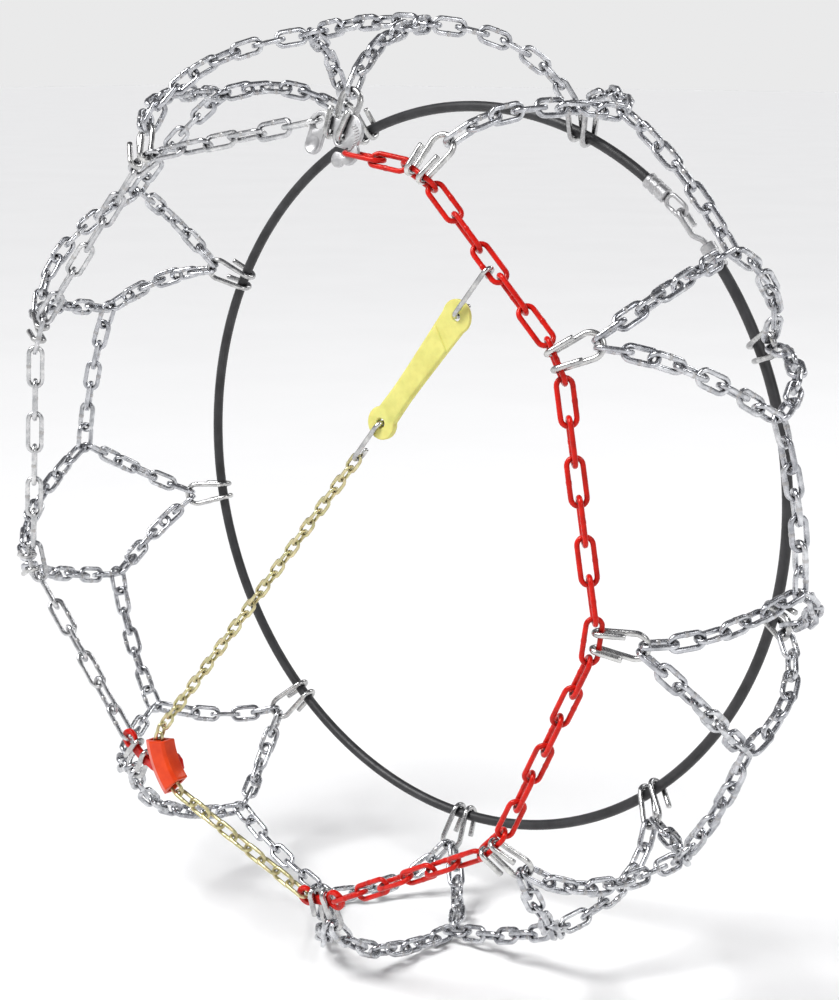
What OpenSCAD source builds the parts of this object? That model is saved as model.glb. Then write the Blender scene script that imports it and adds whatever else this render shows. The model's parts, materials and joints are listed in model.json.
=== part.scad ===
// Tyre snow chain, set in the shape it takes on its wheel.
// The wheel's axle is Y, its outer face looks along -Y, and Z is up. The origin is the wheel's centre.
// Angles run clockwise from the top, as seen from the outer face.

/* [Tyre seat] */
// Radius of the chain's centre line on the tread
tread_r = 346; // [344:0.5:348]
// Radius of the side chain at its hooks
side_r = 278; // [276:0.5:280]
// Distance of the side chain from the tyre's mid-plane
side_y = 112; // [111:0.5:113]
// Radius of the inner cable hoop
hoop_r = 284; // [282:0.5:286]

/* [Side chain] */
// Wire diameter of the side chain
side_wire = 3.6; // [3.4:0.1:3.8]
// Outer width of a side chain link
side_w = 14; // [14:0.1:14.5]
// Longest pitch of the side chain
side_pitch = 26.8; // [26.8:0.1:27.2]

/* [Tread chain] */
// Wire diameter of the tread chain
tread_wire = 3.6; // [3.4:0.1:3.7]
// Outer width of a tread chain link
tread_w = 14; // [14:0.1:14.5]
// Outer width of the links that join a strand to its two cross chains
junction_w = 16.8; // [16.6:0.1:17.2]
// Longest pitch of the tread chain
tread_pitch = 18.8; // [18.7:0.1:19]

/* [Hooks] */
// Wire diameter of the side hooks
hook_wire = 4.2; // [4:0.1:4.3]
// Distance from the gripped wire to the centre of the hook's bow
hook_reach = 22; // [21:0.5:23]
// Centre-line radius of the bow
bow_r = 8.5; // [8.5:0.1:8.7]
// Half the distance between the two prongs
prong_x = 6; // [5.9:0.1:6.1]
// Length of a prong's free end
prong_l = 16; // [13:0.5:16]

/* [Tensioner] */
// Distance between the strap's two holes
strap_holes = 100; // [98:1:102]
// Thickness of the rubber strap
strap_t = 5; // [4.6:0.1:5.1]
// Reach of the upper wire hook
upper_reach = 39; // [38:0.5:40]
// Reach of the lower wire hook
lower_reach = 32; // [31:0.5:33]
// Wire diameter of the two wire hooks
s_wire = 3.4; // [3.2:0.1:3.5]
// Longest pitch of the tension chain
fine_pitch = 11.4; // [11.4:0.1:11.6]

/* [Lock] */
// Length of the lock's curved channel
lock_l = 38; // [37:0.5:39]
// Width of the lock's channel
lock_w = 22; // [21.5:0.1:22.5]
// Depth of the lock's channel
lock_d = 15; // [14.8:0.1:15.2]

/* [Hidden] */
$fn = 24;
gap = 0.5;                 // play where two links meet
plate_t = 3.2;             // thickness of the stamped plates
coarse = [2.9, 11.6, 15];  // adjuster chain: wire, width, longest pitch
fine = [2.4, 9.6, fine_pitch];
side = [side_wire, side_w, side_pitch];
tread = [tread_wire, tread_w, tread_pitch];

// Outer hooks: their angle and the tilt of the side link that each one grips
hook_at = [28, 61, 98.5, 135, 172, 216, 254.5, 293, 332, 12];
hook_roll = [45, 45, -45, 45, 0, 0, 45, -45, 45, 0];
plate_hooks = [4, 5, 9];   // those that grip a plate and not a link
// Lean of each outer hook over the tyre's shoulder; a plate leans with its hook
hook_lean = [27, 27, 27, 27, 14, 4, 27, 27, 27, 14];
inner_lean = 27;
lock_r = 254;              // the side chain runs nearer the hub at the lock
// Centre angle of each pair of cross chains, and half the angle between its two junctions
cross_at = [65, 103.5, 141.5, 181, 220.5, 259.5, 298.5, 337];
cross_half = 9.8;
split_from = 6.5;          // the last pair is split: its two junctions are farther apart
split_to = 35;
lead_y = 24;               // the leading junction lies nearer the vehicle
trail_y = 8;

red = [0.82, 0.08, 0.06];
zinc = [0.78, 0.79, 0.80];
gold = [0.80, 0.74, 0.50];

strands = [for (i = [0:8]) str("tread_strand_", i + 1)];
crosses = [for (i = [0:7]) str("cross_chain_", i + 1)];
hooks = [for (i = [0:9]) str("outer_hook_", i + 1)];
reds = [for (i = [0:4]) str("red_side_chain_", i + 1)];
silvers = [for (i = [0:3]) str("silver_side_chain_", i + 1)];

// ---- vectors and places ----
function unit(v) = v / norm(v);
function polar(r, a, y) = [r * sin(a), y, r * cos(a)];
function tangent(a) = [cos(a), 0, -sin(a)];
function radial(a) = [sin(a), 0, cos(a)];
function square_to(n, t) = unit(n - (n * t) * t);

// Puts a child's X, Y and Z axes on three unit vectors, at point p
module axes_at(p, x, y, z) {
    multmatrix([[x[0], y[0], z[0], p[0]], [x[1], y[1], z[1], p[1]], [x[2], y[2], z[2], p[2]]])
        children();
}

// Running length at each point of a path
function lengths(p, i = 0, so_far = [0]) = i >= len(p) - 1 ? so_far
    : lengths(p, i + 1, concat(so_far, [so_far[i] + norm(p[i + 1] - p[i])]));
// The n + 1 points where n links meet along a path. The outer ends of the first and last links stay
// put, and slack is shared by the joints between.
function meeting_points(p, n, chain) = let (
    s = lengths(p), pitch = (s[len(s) - 1] - chain[2]) / (n - 1), from = (chain[2] - pitch) / 2)
    [for (k = [0:n]) [for (c = [0:2])
        lookup(from + pitch * k, [for (i = [0:len(p) - 1]) [s[i], p[i][c]]])]];
function path_length(p) = let (s = lengths(p)) s[len(s) - 1];
function count_for(p, chain) = ceil(path_length(p) / chain[2] - 0.001);

// ---- chain ----
// One link in the XY plane with its length along X
module link(long, wide, wire) {
    bend = (wide - wire) / 2;
    half = (long - wide) / 2;
    for (e = [0, 180])
        rotate([0, 0, e]) translate([half, 0, 0]) rotate([0, 0, -90])
            rotate_extrude(angle = 180) translate([bend, 0]) circle(d = wire);
    for (s = [-bend, bend])
        translate([-half, s, 0]) rotate([0, 90, 0]) cylinder(d = wire, h = 2 * half);
}

// One link of a chain between the points a and b, rolled out of the surface whose normal is n
module link_between(a, b, n, roll, chain, wide) {
    t = unit(b - a);
    up = square_to(n, t);
    across = cross(up, t);
    w = cos(roll) * across + sin(roll) * up;
    axes_at((a + b) / 2, t, w, cross(t, w)) link(chain[2] + 2 * chain[0] + gap, wide, chain[0]);
}

// Roll of link k of n when the first and the last links are held at given rolls
function half_turns(a) = a - 180 * floor((a + 90) / 180);
function roll_of(k, n, from, to, bulge) = n < 2 ? from
    : from + k * (90 + half_turns(to - from - 90 * (n - 1)) / (n - 1)) + bulge * sin(180 * k / (n - 1));

// Links first to last of a chain through the points q; normals has one vector for each link
module run(q, normals, from, to, chain, bulge = 0, first = 0, drop = 0) {
    n = len(q) - 1;
    for (k = [first:n - 1 - drop])
        link_between(q[k], q[k + 1], normals[k], roll_of(k, n, from, to, bulge), chain, chain[1]);
}
function same_normal(v, n) = [for (k = [0:n - 1]) v];

// ---- side chain ----
face = [0, -1, 0];
function held_r(i) = i == 5 ? lock_r : side_r;
function vertex(i) = polar(held_r(i), hook_at[i], -side_y);
function is_plate(i) = len(search(i, plate_hooks)) > 0;
function leave(i) = vertex(i) + tangent(hook_at[i]) * side_pitch / 2;
function arrive(i) = vertex(i) - tangent(hook_at[i]) * side_pitch / 2;

// Directions of a hook from the side chain to its bow, and out of the tyre; s is -1 on the outer side
function reach_dir(a, lean, s) = cos(lean) * radial(a) - s * sin(lean) * [0, 1, 0];
function reach_up(a, lean, s) = s * cos(lean) * [0, 1, 0] + sin(lean) * radial(a);

// Each plate leans with its hook: x along the side chain, y away from the hub
function on_plate(i, x, y) = vertex(i) + tangent(hook_at[i]) * x
    + reach_dir(hook_at[i], hook_lean[i], -1) * y;
module plate_frame(i) {
    a = hook_at[i];
    axes_at(vertex(i), tangent(a), reach_dir(a, hook_lean[i], -1), reach_up(a, hook_lean[i], -1))
        children();
}
closing_eye = [-20, 3];       // where the silver chain pulls on the closing hook
closing_mouth = [15.8, -10.5];     // where the first red link pulls on it
connector_eye = 16.6;         // where each chain pulls on the connector
lock_eye = [16.2, 3];         // where the silver chain pulls on the lock plate

module free_links(a, b, from, to) {
    n = count_for([a, b], side);
    run(meeting_points([a, b], n, side), same_normal(face, n), from, to, side);
}
function red_ends(i) = [
    i == 0 ? on_plate(9, closing_mouth[0], closing_mouth[1]) : leave(i - 1),
    i == 4 ? on_plate(4, -connector_eye, 2) : arrive(i)];
function silver_ends(i) = [
    i == 0 ? on_plate(5, lock_eye[0], lock_eye[1]) : leave(i + 5),
    i == 3 ? on_plate(9, closing_eye[0], closing_eye[1]) : arrive(i + 6)];

module red_side_chain(i) {
    e = red_ends(i);
    color(red) free_links(e[0], e[1], i == 0 ? 90 : hook_roll[i - 1] + 90,
        i == 4 ? 90 : hook_roll[i] + 90);
}
module silver_side_chain(i) {
    e = silver_ends(i);
    color(zinc) free_links(e[0], e[1], i == 0 ? 90 : hook_roll[i + 5] + 90,
        i == 3 ? 90 : hook_roll[i + 6] + 90);
}
module held_links(which) {
    for (i = which)
        link_between(arrive(i), leave(i), face, hook_roll[i], side, side_w);
}

// ---- hooks between the side chain and the cross chains ----
function turn_r(held) = (held + hook_wire) / 2 + 0.4;

bend_mark = 0.4;       // the wire swells a little where its bow begins
// A hook in its own frame: it turns round a wire along X at the origin, and its bow is up Y
module side_hook(held) {
    r = turn_r(held);
    lean = asin(bow_r / norm([prong_x, hook_reach])) - atan2(prong_x, hook_reach);
    leg = sqrt(pow(prong_x, 2) + pow(hook_reach, 2) - pow(bow_r, 2));
    for (s = [-1, 1])
        translate([s * prong_x, 0, 0]) rotate([0, 0, -s * lean]) {
            rotate([0, 90, 0]) rotate([0, 0, 180]) rotate_extrude(angle = 180)
                translate([r, 0]) circle(d = hook_wire);
            translate([0, 0, -r]) rotate([-90, 0, 0]) cylinder(d = hook_wire, h = leg);
            translate([0, 0, r]) rotate([-90, 0, 0]) cylinder(d = hook_wire, h = prong_l);
            translate([0, leg, -r]) sphere(d = hook_wire + bend_mark);
        }
    translate([0, hook_reach, -r]) rotate([0, 0, -lean]) rotate_extrude(angle = 180 + 2 * lean)
        translate([bow_r, 0]) circle(d = hook_wire);
}

// What an outer hook turns round: the tread side of a link, or a plate's inner edge
function grip(i) = is_plate(i) ? vertex(i)
    : vertex(i) + (side_w - side_wire) / 2
        * (cos(hook_roll[i]) * radial(hook_at[i]) + sin(hook_roll[i]) * face);
function held_size(i) = is_plate(i) ? plate_t : side_wire;
function bow_centre(p, a, lean, s, held) =
    p + reach_dir(a, lean, s) * hook_reach - reach_up(a, lean, s) * turn_r(held);
module hook_at_point(p, a, lean, s, held) {
    h = reach_dir(a, lean, s);
    n = reach_up(a, lean, s);
    axes_at(p, cross(h, n), h, n) side_hook(held);
}
module outer_hook(i) {
    color(zinc) hook_at_point(grip(i), hook_at[i], hook_lean[i], -1, held_size(i));
}

// ---- cross chains ----
// Angle and place of each junction; m runs over the split pair last
function pair_angle(m, trailing) = m < 8 ? cross_at[m] + (trailing ? cross_half : -cross_half)
    : trailing ? split_to : split_from;
function pair_y(m, trailing) = (m < 8) != trailing ? lead_y : trail_y;
function junction(m, trailing) = polar(tread_r, pair_angle(m, trailing), pair_y(m, trailing));

// Direction, in the plane of the tread, from a junction to a bow: 0 is straight across the tread
cross_span = 100;
function across_dir(a, turn, s) = sin(turn) * tangent(a) + cos(turn) * s * [0, 1, 0];
function heading(a_from, a_to) = atan2((a_to - a_from) * tread_r * PI / 180, cross_span);
junction_grip = (junction_w - tread_wire) / 2 - (tread_wire + gap) / 2;
bow_grip = bow_r - (hook_wire + 2 * gap) / 2;

// Route of a cross chain: over the shoulder in a curve, then across the tread
function route(a0, p0, a1, p1, y_turn) = let (
    r0 = norm([p0[0], p0[2]]), arm0 = norm([tread_r - r0, y_turn - p0[1]]), arm1 = abs(p1[1] - y_turn))
    [for (k = [0:24]) let (u = k / 24, f = (arm0 * (1 - pow(1 - u, 2)) + arm1 * u * u) / (arm0 + arm1))
        polar(pow(1 - u, 2) * r0 + 2 * u * (1 - u) * tread_r + u * u * norm([p1[0], p1[2]]),
            a0 + (a1 - a0) * f, pow(1 - u, 2) * p0[1] + 2 * u * (1 - u) * y_turn + u * u * p1[1])];
function angle_of(p) = atan2(p[0], p[2]);
function near_angle(a, b) = a + 360 * round((b - a) / 360);

module cross_leg(bow, a_bow, lean, s, fan, j, a_j) {
    turn = heading(a_j, a_bow);
    h = reach_dir(a_bow, lean, s);
    p0 = bow + bow_grip * (sin(fan) * tangent(a_bow) + cos(fan) * h);
    p1 = j + (junction_grip - 0.15) * across_dir(a_j, turn, s);
    y_turn = p0[1] - s * (tread_r - norm([p0[0], p0[2]])) * tan(inner_lean);
    a0 = near_angle(angle_of(p0), a_bow);
    a1 = near_angle(angle_of(p1), a_bow);
    path = route(a0, p0, a1, p1, y_turn);
    n = count_for(path, tread);
    q = meeting_points(path, n, tread);
    flat = reach_up(a_bow, lean, s);
    normals = [for (k = [0:n - 1]) let (f = min(1, (k + 0.5) / n * 2.2))
        unit((1 - f) * flat + f * radial(angle_of(q[k])))];
    run(q, normals, 90, 90, tread);
}
// Half the least angle between two cross chains on one bow
least_fan = 27;
function fans(a_bow, a_lead, a_trail) = let (
    l = heading(a_bow, a_lead), t = heading(a_bow, a_trail),
    mean = (l + t) / 2, half = max(least_fan, abs(t - l) / 2)) [mean - half, mean + half];

module cross_pair(m, bow, a_bow, lean, s) {
    f = fans(a_bow, pair_angle(m, false), pair_angle(m, true));
    cross_leg(bow, a_bow, lean, s, f[0], junction(m, false), pair_angle(m, false));
    cross_leg(bow, a_bow, lean, s, f[1], junction(m, true), pair_angle(m, true));
}
function outer_bow(i) = bow_centre(grip(i), hook_at[i], hook_lean[i], -1, held_size(i));
module cross_chain(m) {
    color(zinc) cross_pair(m, outer_bow(m + 1), hook_at[m + 1], hook_lean[m + 1], -1);
}
module split_leg(i, trailing) {
    color(zinc) cross_leg(outer_bow(i), hook_at[i], hook_lean[i], -1,
        heading(hook_at[i], pair_angle(8, trailing)), junction(8, trailing), pair_angle(8, trailing));
}

// ---- strands along the tread ----
function strand_path(i) = let (
    a0 = pair_angle(i, true), y0 = pair_y(i, true),
    next = i < 7 ? i + 1 : i == 7 ? 8 : 0, a1_raw = pair_angle(next, false),
    a1 = a1_raw < a0 ? a1_raw + 360 : a1_raw, y1 = pair_y(next, false),
    over = junction_grip / tread_r * 180 / PI)
    [for (k = [0:20]) polar(tread_r, a0 - over + (a1 - a0 + 2 * over) * k / 20, y0 + (y1 - y0) * k / 20)];
function strand_points(i) = let (p = strand_path(i)) meeting_points(p, count_for(p, tread), tread);
function out_normals(q) = [for (k = [0:len(q) - 2]) radial(angle_of((q[k] + q[k + 1]) / 2))];
strand_bulge = 40;
module tread_strand(i) {
    q = strand_points(i);
    color(zinc) run(q, out_normals(q), 0, 0, tread, strand_bulge, 1, 1);
}
module junction_links() {
    color(zinc) for (i = [0:8]) {
        q = strand_points(i);
        n = len(q) - 1;
        normals = out_normals(q);
        for (k = [0, n - 1])
            link_between(q[k], q[k + 1], normals[k], 0, tread, junction_w);
    }
}

// ---- inner side ----
hoop_wire = 8;
hoop_y = 108;
function inner_angle(m) = m < 8 ? cross_at[m] : (split_from + split_to) / 2;
function inner_grip(a) = polar(hoop_r, a, hoop_y);
module inner_hooks() {
    color(zinc) for (m = [0:8])
        hook_at_point(inner_grip(inner_angle(m)), inner_angle(m), inner_lean, 1, hoop_wire);
}
module inner_cross_chains() {
    color(zinc) for (m = [0:8])
        cross_pair(m, bow_centre(inner_grip(inner_angle(m)), inner_angle(m), inner_lean, 1, hoop_wire),
            inner_angle(m), inner_lean, 1);
}
cable_gap_at = 43;     // centre of the gap in the cable, where its two ends hook together
cable_gap = 12;        // degrees without cable
module inner_cable() {
    color("dimgray") rotate([90, 0, 0]) rotate([0, 0, 90 - cable_gap_at + cable_gap / 2])
        translate([0, 0, -hoop_y]) rotate_extrude(angle = 360 - cable_gap, $fn = 180)
            translate([hoop_r, 0]) circle(d = hoop_wire, $fn = 24);
}
sleeve_d = 12;
sleeve_l = 20;
// A crimped sleeve over the cable's end, in a frame with X towards the other end
module cable_sleeve() {
    rotate([0, 90, 0]) difference() {
        cylinder(d = sleeve_d, h = sleeve_l);
        translate([0, 0, -1]) cylinder(d = hoop_wire + 0.4, h = cable_in + 2);
    }
}
cable_in = 14;         // length of cable inside a sleeve
module cable_end_frame(sign) {
    a = cable_gap_at - sign * (cable_gap / 2 + cable_in / 2 / hoop_r * 180 / PI);
    t = sign * tangent(a);
    axes_at(polar(hoop_r, a, hoop_y) - t * cable_in / 2, t, cross([0, 1, 0], t), [0, 1, 0])
        children();
}
ring_w = 13;
module inner_cable_eye() {
    color(zinc) cable_end_frame(1) {
        cable_sleeve();
        translate([sleeve_l + 10.4, 0, 0]) link(22, ring_w, 3.4);
    }
}
module inner_cable_hook() {
    color(zinc) cable_end_frame(-1) {
        cable_sleeve();
        translate([sleeve_l, 0, 0]) rotate([0, 90, 0]) cylinder(d = 5, h = 15);
        translate([sleeve_l + 15, 0, 5.2]) rotate([90, 0, 0]) rotate([0, 0, -90])
            rotate_extrude(angle = 180) translate([5.2, 0]) circle(d = 5);
        translate([sleeve_l + 3, 0, 10.4]) rotate([0, 90, 0]) cylinder(d = 5, h = 12);
    }
}

// ---- plates ----
// Each child outline becomes a slab, from z on, and the slabs join as solids
module slabs(t, z = 0) {
    for (i = [0:$children - 1]) translate([0, 0, z]) linear_extrude(t) children(i);
}
module plate_body(i) { plate_frame(i) translate([0, 0, -plate_t / 2]) children(); }
through = plate_t + 2;
eye_hole_r = 4.8;
module closing_hook() {
    color(zinc) plate_body(9) difference() {
        slabs(plate_t) {
            translate([10, 2]) circle(r = 12.5);
            translate([16, -10.5]) circle(r = 8.2);
            translate([9, -16.5]) circle(r = 5.5);
            translate([-16, -12]) circle(r = 7);
            polygon([[-22.9, -12], [-9.1, -12], [-9.1, 3], [-23, 3]]);
            polygon([[-25, -1], [-25, 6], [-17, 12], [-4, 9], [4, 9], [4, 0.6], [-10, 0.6], [-11, -1]]);
        }
        slabs(through, -1) {
            translate([6, -3.4]) circle(r = 3.7);
            translate([-16.3, 3]) circle(r = eye_hole_r);
            translate([13.2, -10.5]) circle(r = 3.3);
            translate([-4, -12]) square([17, 3]);
        }
        translate([-16, -12, plate_t - 1.2]) cylinder(r = 4.2, h = 3);
    }
}
module red_connector() {
    color(red) plate_body(4) difference() {
        slabs(plate_t) {
            translate([-14.5, 2]) circle(r = 8);
            translate([14.5, 2]) circle(r = 8);
            translate([-10, 0.6]) square([20, 7]);
        }
        slabs(through, -1) {
            translate([-13, 2]) circle(r = eye_hole_r);
            translate([13, 2]) circle(r = eye_hole_r);
        }
    }
}

// ---- lock ----
// The channel is a piece of a ring; its centre line passes through lock_mid
lock_mid = [-112, -124, -206];
lock_curve = 60;
lock_up = unit([-0.45, 0, 0.89]);
lock_side = [lock_up[2], 0, -lock_up[0]];
lock_centre = lock_mid + lock_curve * lock_side;
lock_span = lock_l / lock_curve * 180 / PI;
// Frame with X from the ring's centre to the channel, Y along the channel and Z out of the wheel
module lock_frame() { axes_at(lock_centre, -lock_side, lock_up, face) children(); }
function in_lock(along, out) = let (a = along / lock_curve * 180 / PI)
    lock_centre + lock_curve * (cos(a) * -lock_side + sin(a) * lock_up) + out * face;
lock_wall = 3.2;
lock_floor = 2.4;
pin_r = 1.6;
pin_fit = 0.05;
pin_at = 4;             // degrees above the channel's middle
pin_z = -0.6;
module pin_shape(r, h) { rotate([0, 0, pin_at]) translate([lock_curve, 0, pin_z]) rotate([0, 90, 0])
    translate([0, 0, -h / 2]) cylinder(r = r, h = h); }
module lock_body() {
    w = lock_w / 2;
    d = lock_d / 2;
    color([0.88, 0.22, 0.10]) lock_frame() difference() {
        rotate([0, 0, -lock_span / 2]) rotate_extrude(angle = lock_span, $fn = 120)
            polygon([[lock_curve - w, -d], [lock_curve + w, -d], [lock_curve + w, d - 5],
                [lock_curve + 2, d], [lock_curve - w + 2, d - 2], [lock_curve - w, d - 4]]);
        rotate([0, 0, -lock_span]) rotate_extrude(angle = 2 * lock_span, $fn = 120)
            translate([lock_curve - w + lock_wall, -d + lock_floor])
                square([lock_w - 2 * lock_wall, lock_d - 3 * lock_floor]);
        pin_shape(pin_r, lock_w + 4);
    }
}
module lock_pin() { color(zinc) lock_frame() pin_shape(pin_r, lock_w - 0.6); }
pawl_w = 5;
module lock_pawl() {
    color(gold) lock_frame() difference() {
        rotate([0, 0, pin_at]) translate([lock_curve - pawl_w / 2, 0, pin_z]) rotate([0, 90, 0])
            slabs(pawl_w) {
                circle(r = 2.7);
                polygon([[-2, 1], [2, 1], [3.4, -6.5], [2.2, -6.9]]);
            }
        pin_shape(pin_r + pin_fit, lock_w);
    }
}
module lock_plate() {
    color(red) plate_body(5) difference() {
        slabs(plate_t) {
            translate([14, 3]) circle(r = 8);
            translate([-10, 0.6]) square([21, 8]);
            polygon([[-6, 7], [-6, 2], [-9, 0.6], [-16, -4], [-22, -24], [-34, -32], [-44, -22],
                [-32, -6], [-20, 4]]);
        }
        slabs(through, -1) translate([12.6, 3]) circle(r = eye_hole_r);
    }
}

// ---- tensioner ----
// The upper wire hook holds the middle red link of the second red chain by its hub side
red_span = red_ends(1);
red_dir = unit(red_span[1] - red_span[0]);
red_up = square_to(radial(44.5), red_dir);
hold = (red_span[0] + red_span[1]) / 2 + red_dir * 4.6 - (side_w - side_wire) / 2 * (red_up - face) / sqrt(2);
top_r = (side_wire + s_wire) / 2 + 0.4;   // turn round the red link
strap_r = (strap_t + s_wire) / 2 + 0.5;   // turn round the strap
chain_out_at = in_lock(lock_l / 2 + 4, 0);   // where the tension chain bends out of the lock
line = unit([chain_out_at[0] - hold[0], 0, chain_out_at[2] - hold[2]]);   // down the tensioner
// Frame of the tensioner: X down its line, Z out of the wheel, at the held wire
function on_line(x, out) = hold + line * x + face * out;
module line_frame() { axes_at(hold, line, cross(face, line), face) children(); }
strap_out = top_r - strap_r;
hole_1 = upper_reach;
hole_2 = hole_1 + strap_holes;
eye_x = hole_2 + lower_reach;

// A wire hook along X: open turns of radius r0 at x0 and r1 at x1, both below the shank
module wire_hook(x0, r0, x1, r1, shank_z) {
    translate([x0, 0, shank_z]) rotate([0, 90, 0]) cylinder(d = s_wire, h = x1 - x0);
    translate([x0, 0, shank_z - r0]) rotate([90, 0, 0]) rotate([0, 0, 90])
        rotate_extrude(angle = 180) translate([r0, 0]) circle(d = s_wire);
    translate([x0, 0, shank_z - 2 * r0]) rotate([0, 90, 0]) cylinder(d = s_wire, h = 5);
    translate([x1, 0, shank_z - r1]) rotate([90, 0, 0]) rotate([0, 0, -90])
        rotate_extrude(angle = 180) translate([r1, 0]) circle(d = s_wire);
    translate([x1 - 5, 0, shank_z - 2 * r1]) rotate([0, 90, 0]) cylinder(d = s_wire, h = 5);
}
module upper_wire_hook() {
    color(zinc) line_frame() wire_hook(0, top_r, hole_1 - strap_r, strap_r, top_r);
}
eye_r = 4;
module lower_wire_hook() {
    color(zinc) line_frame() wire_hook(hole_2 + strap_r, strap_r, eye_x, eye_r, top_r);
}
strap_head = 11.5;
module rubber_strap() {
    half_waist = 8;
    color([0.89, 0.88, 0.50]) line_frame() translate([hole_1, 0, strap_out - strap_t / 2]) difference() {
        slabs(strap_t) {
            circle(r = strap_head, $fn = 48);
            translate([strap_holes, 0]) circle(r = strap_head, $fn = 48);
            polygon([[4, 10.6], [18, half_waist + 2], [70, half_waist], [92, half_waist + 0.5],
                [92, -half_waist - 0.5], [70, -half_waist], [18, -half_waist - 2], [4, -10.6]]);
        }
        for (x = [0, strap_holes]) translate([x, 0, -1]) cylinder(d = s_wire + 3, h = strap_t + 2);
    }
}
// The tension chain runs from the lower wire hook down into the lock
chain_out = top_r - eye_r;
tension_from = on_line(eye_x + eye_r - (s_wire + gap) / 2, chain_out);
tension_path = [tension_from, chain_out_at, in_lock(lock_l / 2 - 7, 0)];
module tension_chain() {
    n = count_for(tension_path, fine);
    color(gold) run(meeting_points(tension_path, n, fine), same_normal(face, n), 0, 0, fine);
}
// The adjuster chain runs from the connector's eye into the lower end of the lock
adjuster_path = [on_plate(4, connector_eye - 0.2, 2), in_lock(-lock_l / 2 - 3, 0),
    in_lock(-lock_l / 2 + 8, 0)];
module adjuster_chain() {
    n = count_for(adjuster_path, coarse);
    color(gold) run(meeting_points(adjuster_path, n, coarse), same_normal(face, n), 90, 0, coarse);
}

for (i = [0:8]) tread_strand(i);
for (i = [0:7]) cross_chain(i);
for (i = [0:9]) outer_hook(i);
for (i = [0:4]) red_side_chain(i);
for (i = [0:3]) silver_side_chain(i);
split_leg(0, true);  // cross_chain_first
split_leg(9, false);  // cross_chain_last
junction_links();
inner_cross_chains();
color(red) held_links([0:3]);  // red_held_links
color(zinc) held_links([6:8]);  // silver_held_links
adjuster_chain();
inner_hooks();
inner_cable();
inner_cable_hook();
inner_cable_eye();
closing_hook();
red_connector();
lock_plate();
lock_body();
lock_pawl();
lock_pin();
tension_chain();
lower_wire_hook();
rubber_strap();
upper_wire_hook();
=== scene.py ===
"""Looks of the tyre snow chain set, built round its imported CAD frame.

Every link, hook and plate is made again, finer, where its CAD solid lies. Metres, +Z up, the wheel's axle
along Y, the outer face towards -Y.
"""
import json
import math

import bmesh
import bpy
import numpy as np
from mathutils import Matrix, Vector


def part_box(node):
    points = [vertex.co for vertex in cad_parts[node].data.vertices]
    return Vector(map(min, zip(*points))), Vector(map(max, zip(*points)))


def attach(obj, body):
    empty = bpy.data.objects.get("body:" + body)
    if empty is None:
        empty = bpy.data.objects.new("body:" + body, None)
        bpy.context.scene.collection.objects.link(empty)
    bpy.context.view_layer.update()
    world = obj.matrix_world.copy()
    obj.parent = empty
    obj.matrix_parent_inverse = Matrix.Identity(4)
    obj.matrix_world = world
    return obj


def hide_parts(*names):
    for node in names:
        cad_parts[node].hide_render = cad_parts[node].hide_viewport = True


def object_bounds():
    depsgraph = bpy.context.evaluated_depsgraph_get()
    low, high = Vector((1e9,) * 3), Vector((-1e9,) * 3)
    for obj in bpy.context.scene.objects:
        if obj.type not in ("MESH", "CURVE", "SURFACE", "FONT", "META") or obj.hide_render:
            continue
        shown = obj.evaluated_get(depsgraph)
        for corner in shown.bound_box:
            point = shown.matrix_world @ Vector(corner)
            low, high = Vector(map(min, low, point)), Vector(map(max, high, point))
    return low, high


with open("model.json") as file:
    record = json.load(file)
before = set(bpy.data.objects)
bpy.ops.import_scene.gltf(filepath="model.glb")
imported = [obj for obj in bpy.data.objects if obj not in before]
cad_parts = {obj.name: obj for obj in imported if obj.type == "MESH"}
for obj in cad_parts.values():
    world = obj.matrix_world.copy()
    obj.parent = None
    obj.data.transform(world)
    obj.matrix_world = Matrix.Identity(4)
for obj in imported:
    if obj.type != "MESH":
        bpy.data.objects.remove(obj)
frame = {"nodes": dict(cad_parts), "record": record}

CAD_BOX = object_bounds()
MM = 0.001
TAU = 2 * math.pi
X, Y, Z = np.eye(3)
ASKEW = (0.3, 0.5, 0.8)    # a direction that no wire or pin runs along

RECORD = frame["record"]
SLOT_OF = {part["node"]: part["material_slot"] for part in RECORD["subparts"]}
BODY_OF = {node: body for body, nodes in RECORD["behaviour"]["bodies"].items() for node in nodes}
RANDOM = np.random.default_rng(7)


# ---- reading the CAD solids ----
def mesh_arrays(mesh):
    """A mesh's points and triangles, with the points that lie together joined."""
    points = np.empty(len(mesh.vertices) * 3, np.float32)
    mesh.vertices.foreach_get("co", points)
    mesh.calc_loop_triangles()
    corners = np.empty(len(mesh.loop_triangles) * 3, int)
    mesh.loop_triangles.foreach_get("vertices", corners)
    joined, index = np.unique(points.reshape(-1, 3), axis=0, return_inverse=True)
    return joined.astype(float), index.ravel()[corners].reshape(-1, 3)


def solids(node):
    """The separate solids of a CAD node, each as points and triangles that share edges."""
    points, triangles = mesh_arrays(frame["nodes"][node].data)
    ends = np.stack([triangles, np.roll(triangles, -1, axis=1)])
    edge = np.unique(ends.min(0) * len(points) + ends.max(0), return_inverse=True)[1].reshape(-1, 3)
    label = np.arange(len(triangles))
    while True:
        least = np.full(edge.max() + 1, len(triangles))
        np.minimum.at(least, edge, label[:, None])
        lower = least[edge].min(1)
        lower = lower[lower]
        if (lower == label).all():
            break
        label = lower
    found = []
    for name in np.unique(label):
        own = triangles[label == name]
        used, index = np.unique(own, return_inverse=True)
        found.append((points[used], index.reshape(-1, 3)))
    return found


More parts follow.
